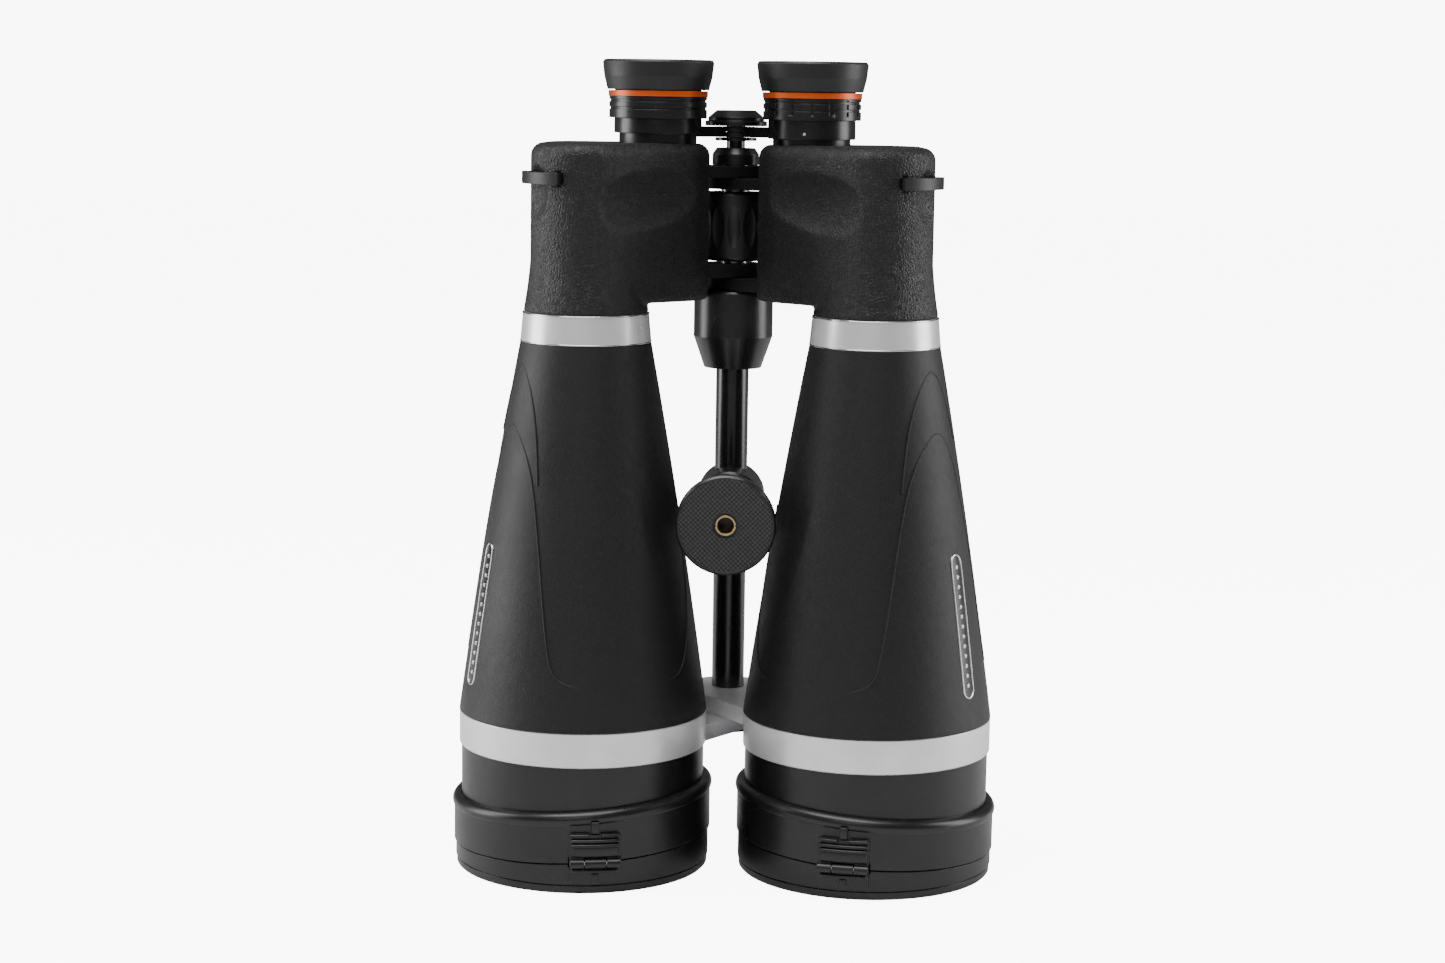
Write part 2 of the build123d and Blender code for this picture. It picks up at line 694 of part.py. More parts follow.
def objective_cap():
    """The band that grips the barrel, the lid that swings on it and their pin."""
    bore = front_radius + seat
    above_slit = slab(objective_axis, slit_height + slit_gap / 2, slit_tilt)
    below_slit = slab(objective_axis, slit_height - slit_gap / 2 - slab_thickness, slit_tilt)
    below_bead = slab(objective_axis, bead_height - slab_thickness, bead_tilt)
    skirt_foot, skirt_top = front_end - skirt_spare, bead_height + skirt_spare
    skirt = tube(objective_axis, band_radius, bore, skirt_foot, skirt_top)
    bead = at(objective_axis, bead_height) * Rot(0, bead_tilt, 0) * Torus(bead_ring_radius, bead_radius)
    band = (skirt & above_slit & below_bead) + bead
    band -= rod(objective_axis, bore, 0, skirt_top + past)

    lid = turned(objective_axis, [
        (0, 0), (lid_foot_radius - lid_groove, 0), (lid_foot_radius, lid_groove),
        (lid_foot_radius, lid_groove_height), (lid_foot_radius - lid_groove, lid_groove_height),
        (lid_foot_radius - lid_groove, lid_groove_height + lid_groove),
        (lid_radius, lid_groove_height + lid_groove), (lid_radius, front_end), (0, front_end),
    ]) & below_slit
    lid -= rod(objective_axis, lid_radius - lid_wall, lid_plate, front_end + past)

    plate_in = lid_radius - lid_wall / 2
    side = (strap_width - strap_middle) / 2 - face_gap
    side_offset = strap_middle / 2 + face_gap + side / 2
    clear = strap_knuckle + face_gap
    shade = strap_block(bore, strap_plate_radius + past, strap_axis_height - clear,
                        strap_axis_height + clear, strap_width + 2 * face_gap)
    band_plate = strap_block(bore, strap_plate_radius, strap_axis_height + clear, strap_top, strap_width)
    lid_plate_piece = strap_block(plate_in, strap_plate_radius, strap_foot, strap_axis_height - clear,
                                  strap_width)
    band = (band - shade) + band_plate
    lid = (lid - shade) + lid_plate_piece
    for offset in (-side_offset, side_offset):
        band += strap_roll(strap_knuckle, side, offset)
        band += strap_block(bore + strap_web_inset, strap_axis_radius, strap_axis_height,
                            strap_axis_height + clear, side, offset)
    lid += strap_roll(strap_knuckle, strap_middle)
    lid += strap_block(plate_in, strap_axis_radius, strap_axis_height - clear, strap_axis_height,
                       strap_middle)
    pin_hole = strap_roll(strap_pin + running, strap_width + past)
    pin = strap_roll(strap_pin, strap_width)
    return band - pin_hole, lid - pin_hole, pin


# --- hinge column and focus drive ---
def column():
    """The spindle with its top collar, the cone below the hinge and the rod to the lower arms."""
    spindle_foot, spindle_top = cone_top - rod_socket, collar_bottom + spindle_end
    spindle = tube(hinge_axis, spindle_radius, spindle_bore, spindle_foot, spindle_top)
    slot_low = wheel_bottom + (wheel_height - drive_space_height) / 2
    slot = Box(2 * (spindle_radius + past), 2 * (drive_pin_radius + running), drive_space_height)
    spindle -= at(hinge_axis, slot_low + drive_space_height / 2) * slot
    collar = turned(hinge_axis, [
        (shaft_radius + running, collar_bottom), (collar_radius, collar_bottom),
        (collar_radius, collar_bottom + collar_straight), (collar_top_radius, column_top),
        (shaft_radius + running, column_top),
    ]) - rod(hinge_axis, spindle_radius, collar_bottom - past, collar_bottom + spindle_end)
    bevel = cone_bevel
    cone = turned(hinge_axis, [
        (0, cone_bottom), (cone_foot_radius, cone_bottom), (cone_radius, cone_top - cone_straight),
        (cone_radius, cone_top - bevel), (cone_radius - bevel, cone_top), (0, cone_top),
    ])
    cone -= rod(hinge_axis, spindle_radius, cone_top - rod_socket, cone_top + past)
    cone -= rod(hinge_axis, rod_radius, cone_bottom - past, cone_bottom + rod_socket)
    long_rod = rod(hinge_axis, rod_radius, bell_bottom + face_gap, cone_bottom + rod_socket)
    foot = rod(hinge_axis, foot_radius, ring_bottom - face_gap - foot_thickness, ring_bottom - face_gap)
    stem_top = bell_bottom + face_gap + rod_socket
    foot += rod(hinge_axis, foot_stem_radius, ring_bottom - face_gap, stem_top)
    long_rod -= rod(hinge_axis, foot_stem_radius, bell_bottom, stem_top)
    return spindle, collar, cone, long_rod, foot


def focus_wheel():
    """The fluted wheel that turns on the spindle and drives the pin in its inner track."""
    wheel = rod(hinge_axis, wheel_radius, wheel_bottom, wheel_top)
    wheel = fillet(wheel.edges().filter_by(GeomType.CIRCLE), wheel_round)
    side = ThreePointArc((0, -flute_reach), (flute_radius, 0), (0, flute_reach))
    flute = swept_round((0, 0), side + Line((0, flute_reach), (0, -flute_reach)))
    middle = (wheel_bottom + wheel_top) / 2
    for step in range(wheel_flutes):
        angle = 360 / wheel_flutes * step
        wheel -= around(hinge_axis, angle, wheel_radius + flute_radius - flute_depth, middle) * flute
    wheel -= rod(hinge_axis, spindle_radius + running, wheel_bottom - past, wheel_top + past)
    low = middle - drive_space_height / 2
    return wheel - rod(hinge_axis, drive_space_radius, low, low + drive_space_height)


def bridge():
    """The focus shaft, its drive pin and the cap that holds the two bridge arms."""
    pin_height = wheel_bottom + (wheel_height - drive_space_height) / 2 + drive_pin_radius + bridge_lift
    shaft = rod(hinge_axis, shaft_radius, pin_height - pin_below, bridge_top)
    shaft += rod(hinge_axis, hub_flange_radius, bridge_bottom, bridge_bottom + hub_flange)
    cross = at(hinge_axis, pin_height) * Rot(0, 90, 0)
    shaft -= cross * Cylinder(drive_pin_radius, 4 * shaft_radius)
    pin = cross * Cylinder(drive_pin_radius, 2 * drive_pin_reach)
    top = bridge_top + cap_height
    cap = turned(hinge_axis, [
        (shaft_radius, bridge_top - bridge_flange), (bridge_flange_radius, bridge_top - bridge_flange),
        (bridge_flange_radius, bridge_top), (cap_rim_radius, bridge_top + cap_rim_low),
        (cap_rim_radius, bridge_top + cap_rim_high), (cap_top_radius, top), (0, top), (0, bridge_top),
        (shaft_radius, bridge_top),
    ])
    return shaft, pin, cap


# --- eyepieces ---
def bridge_arm(upper_half):
    """One bridge arm from its half-height knuckle on the focus shaft to the eyepiece."""
    bar = pill(hinge_axis, eyepiece_axis, arm_width / 2, arm_width / 2, arm_bottom, arm_top)
    room = rod(hinge_axis, arm_hub_radius + face_gap, arm_bottom - past, arm_top + past)
    half = (arm_thickness - face_gap) / 2
    low = arm_top - half if upper_half else arm_bottom
    knuckle = rod(hinge_axis, arm_hub_radius, low, low + half)
    tongue = pill(hinge_axis, eyepiece_axis, arm_width / 2, arm_width / 2, low, low + half)
    arm = (bar - room) + knuckle + tongue
    return arm - rod(hinge_axis, shaft_radius + running, arm_bottom - past, arm_top + past)


def eyepiece_tube(collar_rise, upper_half):
    """The sliding tube with its collar and its half of the bridge."""
    low = box_top - tube_depth
    collar_low = box_top + collar_rise
    body = rod(eyepiece_axis, tube_outer, low, accent_top - accent_height / 2)
    body += rod(eyepiece_axis, eyepiece_collar_radius, collar_low, eyepiece_base)
    body += rod(eyepiece_axis, grip_bore, eyepiece_base, grip_bottom)
    body += bridge_arm(upper_half)
    return body - rod(eyepiece_axis, tube_outer - tube_wall, low - past, accent_top + past)


def grip_ring(dashed):
    """The ribbed ring below the eyecup; the dashed one is the dioptre ring."""
    ring = rod(eyepiece_axis, grip_radius, grip_bottom + running, grip_top)
    for share in groove_shares:
        low = grip_bottom + grip_height * share
        ring -= tube(eyepiece_axis, grip_radius + past, grip_radius - groove_depth, low, low + groove_width)
    if dashed:
        for step in range(dash_count):
            place = around(eyepiece_axis, 360 / dash_count * step, grip_radius, grip_bottom + dash_rise)
            ring -= place * Box(2 * groove_depth, dash_width, dash_height)
    bore = grip_bottom + grip_floor
    ring -= rod(eyepiece_axis, grip_bore, bore, grip_top + past)
    return ring - rod(eyepiece_axis, tube_outer + running, grip_bottom - past, grip_top + past)


def accent_ring():
    """The coloured ring on top of the grip ring."""
    return tube(eyepiece_axis, accent_radius, grip_bore, grip_top, accent_top)


def eyecup():
    """The twist-up eyecup with its sliding skirt."""
    skirt_in = tube_outer + 2 * running
    skirt_out = skirt_in + skirt_wall
    skirt_low = grip_bottom + grip_floor + guide_ring_height + 2 * face_gap
    inner = skirt_in + face_gap
    return turned(eyepiece_axis, [
        (skirt_in, skirt_low), (skirt_out, skirt_low), (skirt_out, cup_bottom),
        (cup_foot_radius, cup_bottom), (cup_kink_radius, cup_bottom + cup_kink),
        (cup_rim_radius, cup_top - cup_step), (cup_rim_radius - cup_lip / 2, cup_top),
        (cup_rim_radius - cup_lip, cup_top - cup_edge),
        (cup_foot_radius - 2 * cup_lip, cup_bottom + cup_kink),
        (inner, cup_bottom + cup_kink - cup_step), (inner, cup_bottom), (skirt_in, cup_bottom - cup_step),
    ])


def eyecup_guide():
    """The keyed ring that carries the eyecup up as it is twisted."""
    low = grip_bottom + grip_floor + face_gap
    return tube(eyepiece_axis, tube_outer + running + skirt_wall, tube_outer + running, low,
                low + guide_ring_height)


def ocular():
    """The eyepiece's lens cell with its field lens and eye lens."""
    bore = tube_outer - tube_wall
    top = accent_top - lens_cell_below
    low = top - lens_cell_height
    lip_low = top - cell_lip_height
    recess = top - eye_recess - eye_lens_thickness
    inner = bore - seat - lens_cell_wall
    cell = turned(eyepiece_axis, [
        (bore - running, low), (bore - running, top), (eye_lens_radius - cell_lip_width, top),
        (eye_lens_radius - cell_lip_width, lip_low), (eye_lens_radius + seat, lip_low),
        (eye_lens_radius + seat, recess), (inner, recess - eye_recess_step), (inner, low),
    ])

    def lens(radius, thickness, height):
        edge = thickness / 2 - lens_swell
        upper = dome_ball(eyepiece_axis, radius, lens_swell, height + edge)
        lower = dome_ball(eyepiece_axis, radius, -lens_swell, height - edge)
        return rod(eyepiece_axis, radius, height - thickness, height + thickness) & upper & lower

    field = lens(inner - seat, field_lens_thickness, low + field_lens_thickness)
    eye = lens(eye_lens_radius, eye_lens_thickness, lip_low - eye_lens_thickness / 2)
    return cell, field, eye


# --- tripod adapter ---
def adapter():
    """The clamp on the rod, the disc with its pad and socket, and the locking knob."""
    bevel = clamp_bevel
    disc_back = disc_face + disc_thickness
    clamp = turned_y([
        (0, clamp_front), (clamp_radius - bevel, clamp_front), (clamp_radius, clamp_front + bevel),
        (clamp_radius, clamp_back - bevel), (clamp_radius - bevel, clamp_back), (0, clamp_back),
    ], adapter_height)
    low, high = adapter_height - clamp_radius - past, adapter_height + clamp_radius + past
    clamp -= rod(hinge_axis, rod_radius + running, low, high)
    stud_bore = stud_radius + seat
    clamp -= turned_y([(0, hinge_back), (stud_bore, hinge_back), (stud_bore, knob_back), (0, knob_back)],
                      adapter_height)
    edge = disc_edge
    disc = turned_y([
        (0, disc_face), (disc_radius - edge, disc_face), (disc_radius, disc_face + edge),
        (disc_radius, disc_back - edge), (disc_radius - edge, disc_back), (adapter_neck_radius, disc_back),
        (adapter_neck_radius, clamp_front), (0, clamp_front),
    ], adapter_height)
    pad_floor = disc_face + pad_thickness
    disc -= turned_y([(0, disc_face - past), (pad_radius + seat, disc_face - past),
                      (pad_radius + seat, pad_floor), (0, pad_floor)], adapter_height)
    insert_front = disc_face + insert_sink
    insert_back = insert_front + insert_length
    disc -= turned_y([(0, disc_face), (insert_radius + seat, disc_face),
                      (insert_radius + seat, insert_back), (0, insert_back)], adapter_height)
    pad = turned_y([
        (insert_recess_radius, disc_face), (pad_radius, disc_face), (pad_radius, pad_floor),
        (insert_recess_radius, pad_floor),
    ], adapter_height)
    insert = turned_y([
        (socket_radius, insert_front), (insert_radius, insert_front), (insert_radius, insert_back),
        (socket_radius, insert_back),
    ], adapter_height)
    insert -= Pos(0, insert_front, adapter_height) * Box(3 * insert_radius, 2 * spanner_slot, spanner_slot)
    knob_front = clamp_back + knob_gap
    knob = turned_y([(0, knob_front), (knob_radius, knob_front), (knob_radius, knob_back), (0, knob_back)],
                    adapter_height)
    for step in range(knob_lobes):
        angle = radians(360 / knob_lobes * step)
        reach = knob_radius + knob_lobe_radius * knob_lobe_share
        dent = Pos(reach * cos(angle), (knob_front + knob_back) / 2, adapter_height + reach * sin(angle))
        knob -= dent * Rot(90, 0, 0) * Cylinder(knob_lobe_radius, 2 * knob_length)
    stud_tip = hinge_back + rod_radius + running
    knob += turned_y([(0, stud_tip), (stud_radius, stud_tip), (stud_radius, knob_front), (0, knob_front)],
                     adapter_height)
    return clamp, disc, pad, insert, knob


# --- the two halves and everything on the hinge ---
def half_parts(side):
    """Every piece of one half, modelled on the right and mirrored for the left."""
    right = side == "right"
    casting, covering = housing(0 if right else 1)
    shelf, prisms = prism_set()
    shell, bell_cover, badge = barrel(right_badge_angle if right else left_badge_angle)
    cell, crown, flint = objective()
    band, lid, pin = objective_cap()
    ocular_cell, field_lens, eye_lens = ocular()
    pieces = {
        "prism_housing": casting,
        "housing_armour": covering,
        "prism_shelf": shelf,
        "prisms": prisms,
        "upper_ring": upper_ring(),
        "objective_barrel": shell,
        "barrel_armour": bell_cover,
        "badge": badge,
        "lower_ring": lower_ring(right),
        "objective_cell": cell,
        "crown_lens": crown,
        "flint_lens": flint,
        "cap_band": band,
        "cap_lid": lid,
        "cap_pin": pin,
        "eyepiece_tube": eyepiece_tube(right_collar_rise if right else left_collar_rise, not right),
        "dioptre_ring" if right else "grip_ring": grip_ring(right),
        "accent_ring": accent_ring(),
        "eyecup_guide": eyecup_guide(),
        "eyecup": eyecup(),
        "ocular_cell": ocular_cell,
        "field_lens": field_lens,
        "eye_lens": eye_lens,
    }
    if right:
        return {f"right_{name}": shape for name, shape in pieces.items()}
    return {f"left_{name}": mirror(shape, about=Plane.YZ) for name, shape in pieces.items()}


def centre_parts():
    """The pieces on the hinge axis and the tripod adapter."""
    spindle, collar, cone, long_rod, foot = column()
    shaft, drive_pin, cap = bridge()
    clamp, disc, pad, insert, knob = adapter()
    return {
        "hinge_spindle": spindle,
        "top_collar": collar,
        "cone_collar": cone,
        "support_rod": long_rod,
        "foot_screw": foot,
        "focus_wheel": focus_wheel(),
        "focus_shaft": shaft,
        "drive_pin": drive_pin,
        "bridge_cap": cap,
        "adapter_clamp": clamp,
        "adapter_disc": disc,
        "adapter_pad": pad,
        "adapter_insert": insert,
        "adapter_knob": knob,
    }


def main():
    """Build every piece, move the origin under the middle of the whole and write the files."""
    os.makedirs("parts", exist_ok=True)
    parts = half_parts("right") | half_parts("left") | centre_parts()
    for name, shape in parts.items():
        export_step(Pos(0, -origin_y, 0) * shape, f"parts/{name}.step")


main()
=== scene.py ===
import bpy
import json
from math import cos, pi, radians, sin
from mathutils import Matrix, Vector


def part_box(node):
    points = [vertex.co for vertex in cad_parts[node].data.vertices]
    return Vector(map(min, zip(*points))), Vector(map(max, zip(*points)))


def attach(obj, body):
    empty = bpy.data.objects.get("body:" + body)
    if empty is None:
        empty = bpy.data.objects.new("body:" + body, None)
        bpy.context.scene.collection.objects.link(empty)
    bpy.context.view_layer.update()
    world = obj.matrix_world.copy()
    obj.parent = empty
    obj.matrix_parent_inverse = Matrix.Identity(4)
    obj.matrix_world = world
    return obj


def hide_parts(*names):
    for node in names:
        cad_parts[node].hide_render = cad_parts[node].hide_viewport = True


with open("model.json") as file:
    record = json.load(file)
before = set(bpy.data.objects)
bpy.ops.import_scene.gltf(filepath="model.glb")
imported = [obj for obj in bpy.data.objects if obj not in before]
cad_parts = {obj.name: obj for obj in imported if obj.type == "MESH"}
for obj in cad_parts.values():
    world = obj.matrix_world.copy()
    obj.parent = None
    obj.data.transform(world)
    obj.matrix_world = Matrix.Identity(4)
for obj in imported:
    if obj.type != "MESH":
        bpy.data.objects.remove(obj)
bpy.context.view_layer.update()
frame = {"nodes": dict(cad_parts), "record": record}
nodes = frame["nodes"]
SIDES = ("left", "right")
MM = 0.001

# --- sizes, in millimetres and degrees ---
BELL_BULGE = 0.9  # how far a bell's side swells beyond a straight cone
BELL_TURN = 4.5  # how far both bells are turned the same way round their axes
LINE_RADIUS = 0.42
BADGE_ANGLE = 30.5  # middle of a badge before the bell's turn, from outwards towards the underside
BADGE_HALF_WIDTH = 3.3
BADGE_END = 3.4  # centre of the badge's round end from its tip
BADGE_PROUD = 0.05
BADGE_RIM_RADIUS = 0.38
PIP_COUNT = 13
PIP_RADIUS, PIP_DEPTH, PIP_BEVEL = 0.85, 0.5, 0.14
PIP_INSET = 1.5  # first pip from the centre of the badge's round end
COVERING_VOXEL = 0.62
STRAP_ANGLE = 10.0  # strap from the underside towards the centre line
STRAP_FACE = 51.4  # strap's face from the barrel's axis
STRAP_SUNK = 0.6  # ribs inside the strap's face
RING_BEAD_RADIUS = 0.4
RING_BEAD_SET_IN = 0.35  # beads from the upper ring's edges
RING_BEAD_FOOT, RING_BEAD_HEAD = 0.25, 1.1  # beads' circles inside the ring's widest
MARK_RISE = 1.7  # dioptre marks above the ring's foot
MARK_ANGLE = 26.0
MARK_LONG, MARK_THIN, MARK_DOT = 1.9, 0.42, 0.7
MARK_DEPTH, MARK_BEVEL = 0.3, 0.08
INDEX_RADIUS = 0.62
INDEX_REACH = 16.9  # index dot from the eyepiece's axis
INDEX_RISE = 6.4  # index dot above the prism housing
INDEX_ANGLE = 9.5

# --- colours ---
DUST = (0.09, 0.09, 0.092)


# --- shader helpers ---
def new_group(name, inputs, outputs):
    """An empty shader group with named float inputs and typed outputs."""
    group = bpy.data.node_groups.new(name, "ShaderNodeTree")
    for label, value in inputs:
        socket = group.interface.new_socket(label, in_out="INPUT", socket_type="NodeSocketFloat")
        socket.default_value = value
    for label, kind in outputs:
        group.interface.new_socket(label, in_out="OUTPUT", socket_type=kind)
    start = group.nodes.new("NodeGroupInput")
    end = group.nodes.new("NodeGroupOutput")
    return group, start, end


def add(tree, kind, inputs=(), **settings):
    """A node with its settings and plain input values."""
    node = tree.nodes.new(kind)
    for key, value in settings.items():
        setattr(node, key, value)
    for key, value in dict(inputs).items():
        node.inputs[key].default_value = value
    return node


def wire(tree, source, target):
    tree.links.new(source, target)


def math_node(tree, operation, first, second):
    """A maths node fed by sockets or plain numbers."""
    node = add(tree, "ShaderNodeMath", operation=operation)
    for socket, value in zip(node.inputs, (first, second)):
        if isinstance(value, (int, float)):
            socket.default_value = value
        else:
            wire(tree, value, socket)
    return node.outputs[0]


def ramp(tree, source, low, high, dark=0.0, light=1.0):
    """Maps a socket from low..high to dark..light, held at the ends."""
    limits = {"From Min": low, "From Max": high, "To Min": dark, "To Max": light}
    node = add(tree, "ShaderNodeMapRange", limits)
    wire(tree, source, node.inputs["Value"])
    return node.outputs["Result"]


# --- shader groups that several finishes share ---
def make_leather_grain():
    """Moulded leather grain: small pebbles with creases between them, in patches of uneven depth, and a
    mask for painted shade in the creases.
    """
    group, start, end = new_group(
        "Leather grain",
        (("Scale", 900.0), ("Stretch", 1.0)),
        (("Height", "NodeSocketFloat"), ("Painted crease shade", "NodeSocketFloat")),
    )
    place = add(group, "ShaderNodeTexCoord")
    warp = add(group, "ShaderNodeTexNoise", {"Scale": 260.0, "Detail": 2.0})
    shift = add(group, "ShaderNodeVectorMath", operation="MULTIPLY_ADD")
    shift.inputs[1].default_value = (0.0016, 0.0016, 0.0016)
    cells = add(group, "ShaderNodeTexVoronoi", {"Randomness": 0.95}, feature="DISTANCE_TO_EDGE")
    fine = add(group, "ShaderNodeTexNoise", {"Detail": 3.0, "Roughness": 0.65})
    wire(group, place.outputs["Object"], warp.inputs["Vector"])
    wire(group, warp.outputs["Color"], shift.inputs[0])
    wire(group, place.outputs["Object"], shift.inputs[2])
    wire(group, shift.outputs[0], cells.inputs["Vector"])
    wire(group, start.outputs["Scale"], cells.inputs["Scale"])
    wire(group, place.outputs["Object"], fine.inputs["Vector"])
    wire(group, math_node(group, "MULTIPLY", start.outputs["Scale"], 1.9), fine.inputs["Scale"])
    pebble = ramp(group, cells.outputs["Distance"], 0.0, 0.32)
    soft = math_node(group, "MULTIPLY", fine.outputs["Fac"], 0.55)
    wire(group, math_node(group, "ADD", pebble, soft), end.inputs["Height"])
    # painted shade: a mask that is full in the creases between pebbles, for darkening the colour there
    wire(group, ramp(group, cells.outputs["Distance"], 0.0, 0.14, 1.0, 0.0), end.inputs["Painted crease shade"])
    return group


def make_fine_grain():
    """The even, sandy grain of spark-eroded plastic or bead-blasted metal."""
    group, start, end = new_group(
        "Fine grain",
        (("Scale", 2500.0),),
        (("Height", "NodeSocketFloat"), ("Fleck", "NodeSocketFloat")),
    )
    place = add(group, "ShaderNodeTexCoord")
    sand = add(group, "ShaderNodeTexNoise", {"Detail": 4.0, "Roughness": 0.7})
    wire(group, place.outputs["Object"], sand.inputs["Vector"])
    wire(group, start.outputs["Scale"], sand.inputs["Scale"])
    wire(group, sand.outputs["Fac"], end.inputs["Height"])
    wire(group, ramp(group, sand.outputs["Fac"], 0.6, 0.72), end.inputs["Fleck"])
    return group


def make_handling():
    """Slow uneven patches from handling and moulding, and dust that settles on faces that look up."""
    group, start, end = new_group(
        "Handling",
        (("Patch size", 28.0), ("Dust", 0.3)),
        (("Patches", "NodeSocketFloat"), ("Dust", "NodeSocketFloat")),
    )
    place = add(group, "ShaderNodeTexCoord")
    slow = add(group, "ShaderNodeTexNoise", {"Detail": 5.0, "Roughness": 0.6, "Distortion": 0.6})
    wire(group, place.outputs["Object"], slow.inputs["Vector"])
    wire(group, start.outputs["Patch size"], slow.inputs["Scale"])
    wire(group, ramp(group, slow.outputs["Fac"], 0.3, 0.7), end.inputs["Patches"])
    specks = add(group, "ShaderNodeTexNoise", {"Scale": 1400.0, "Detail": 3.0})
    wire(group, place.outputs["Object"], specks.inputs["Vector"])
    surface = add(group, "ShaderNodeNewGeometry")
    split = add(group, "ShaderNodeSeparateXYZ")
    wire(group, surface.outputs["Normal"], split.inputs[0])
    upward = ramp(group, split.outputs["Z"], 0.35, 1.0)
    speckled = math_node(group, "MULTIPLY", upward, ramp(group, specks.outputs["Fac"], 0.52, 0.66))
    wire(group, math_node(group, "MULTIPLY", speckled, start.outputs["Dust"]), end.inputs["Dust"])
    return group


def make_worn_edges():
    """Rounded edges that catch the light, and a mask where they are rubbed."""
    group, start, end = new_group(
        "Worn edges",
        (("Radius", 0.0004),),
        (("Edge", "NodeSocketFloat"), ("Normal", "NodeSocketVector")),
    )
    rounded = add(group, "ShaderNodeBevel", samples=6)
    surface = add(group, "ShaderNodeNewGeometry")
    turn = add(group, "ShaderNodeVectorMath", operation="DOT_PRODUCT")
    place = add(group, "ShaderNodeTexCoord")
    broken = add(group, "ShaderNodeTexNoise", {"Scale": 420.0, "Detail": 4.0})
    wire(group, start.outputs["Radius"], rounded.inputs["Radius"])
    wire(group, rounded.outputs["Normal"], turn.inputs[0])
    wire(group, surface.outputs["Normal"], turn.inputs[1])
    wire(group, place.outputs["Object"], broken.inputs["Vector"])
    edge = ramp(group, turn.outputs["Value"], 0.985, 0.80)
    wire(
        group,
        math_node(group, "MULTIPLY", edge, ramp(group, broken.outputs["Fac"], 0.35, 0.65)),
        end.inputs["Edge"],
    )
    wire(group, rounded.outputs["Normal"], end.inputs["Normal"])
    return group


LEATHER = make_leather_grain()
FINE = make_fine_grain()
HANDLING = make_handling()
EDGES = make_worn_edges()


def use(tree, group, **values):
    """A placed group with its own values."""
    node = add(tree, "ShaderNodeGroup", node_tree=group)
    for label, value in values.items():
        node.inputs[label.replace("_", " ")].default_value = value
    return node


def finish_shader(material, shader, **settings):
    """Sets the constants on the shader's own sockets."""
    for label, value in settings.items():
        shader.inputs[label.replace("_", " ")].default_value = value
    return material


def mixed(tree, amount, first, second):
    """Blends two colours by a mask."""
    node = add(tree, "ShaderNodeMix", data_type="RGBA")
    wire(tree, amount, node.inputs["Factor"])
    for socket, value in ((node.inputs[6], first), (node.inputs[7], second)):
        if isinstance(value, tuple):
            socket.default_value = (*value, 1.0)
        else:
            wire(tree, value, socket)
    return node.outputs[2]


def new_finish(name):
    """A new material with its node tree and its shader."""
    material = bpy.data.materials.new(name)
    material.use_nodes = True
    tree = material.node_tree
    return material, tree, tree.nodes["Principled BSDF"]


def patchy_roughness(tree, shader, marks, clean, handled):
    """Drives the shader's roughness from the uneven patches."""
    wire(tree, ramp(tree, marks.outputs["Patches"], 0.0, 1.0, clean, handled), shader.inputs["Roughness"])


def bumped(tree, shader, height, depth, normal=None):
    """Feeds a height to the shader through a bump."""
    bump = add(tree, "ShaderNodeBump", {"Strength": 1.0, "Distance": depth})
    wire(tree, height, bump.inputs["Height"])
    if normal is not None:
        wire(tree, normal, bump.inputs["Normal"])
    wire(tree, bump.outputs["Normal"], shader.inputs["Normal"])


def faded(tree, height, foot, head, least):
    """Fades a height downwards, from full at the head to its least at the foot, in metres up."""
    place = add(tree, "ShaderNodeTexCoord")
    split = add(tree, "ShaderNodeSeparateXYZ")
    wire(tree, place.outputs["Object"], split.inputs[0])
    return math_node(tree, "MULTIPLY", height, ramp(tree, split.outputs["Z"], foot, head, least, 1.0))


def woven(tree, pitch):
    """The height of a plain weave of flat strands across and up, in metres."""
    place = add(tree, "ShaderNodeTexCoord")
    split = add(tree, "ShaderNodeSeparateXYZ")
    wire(tree, place.outputs["Object"], split.inputs[0])
    waves = []
    for axis in ("X", "Z"):
        turns = math_node(tree, "MULTIPLY", split.outputs[axis], pi / pitch)
        waves.append(add(tree, "ShaderNodeMath", operation="SINE"))
        wire(tree, turns, waves[-1].inputs[0])
    checks = math_node(tree, "MULTIPLY", waves[0].outputs[0], waves[1].outputs[0])
    return ramp(tree, checks, -0.35, 0.35)


def rubber(name, colour, worn, rough, depth, scale=950.0, radius=0.5, fade=None, weave=0.0):
    """Moulded rubber with leather grain, paler where rubbed, a little dusty on top, and darkened in the
    grain's creases as painted shade.
    """
    material, tree, shader = new_finish(name)
    grain = use(tree, LEATHER, Scale=scale)
    height = grain.outputs["Height"]
    if fade:
        height = faded(tree, height, *fade)
    marks = use(tree, HANDLING, Patch_size=24.0, Dust=0.35)
    edges = use(tree, EDGES, Radius=radius * MM)
    shade = tuple(channel * 0.72 for channel in colour)
    tinted = mixed(tree, marks.outputs["Patches"], shade, colour)
    # painted shade: the colour is darkened in the grain's creases
    crease_shaded = mixed(tree, math_node(tree, "MULTIPLY", grain.outputs["Painted crease shade"], 0.55), tinted, shade)
    rubbed = mixed(tree, math_node(tree, "MULTIPLY", edges.outputs["Edge"], 0.35), crease_shaded, worn)
    dusty = mixed(tree, marks.outputs["Dust"], rubbed, DUST)
    if weave:
        strands = woven(tree, weave * MM)
        dusty = mixed(tree, strands, dusty, worn)
        height = math_node(tree, "ADD", height, math_node(tree, "MULTIPLY", strands, 2.0))
    wire(tree, dusty, shader.inputs["Base Color"])
    patchy_roughness(tree, shader, marks, rough + 0.06, rough - 0.05)
    bumped(tree, shader, height, depth * MM, edges.outputs["Normal"])
    return finish_shader(material, shader, Specular_IOR_Level=0.4, Sheen_Weight=0.015, Sheen_Roughness=0.5)


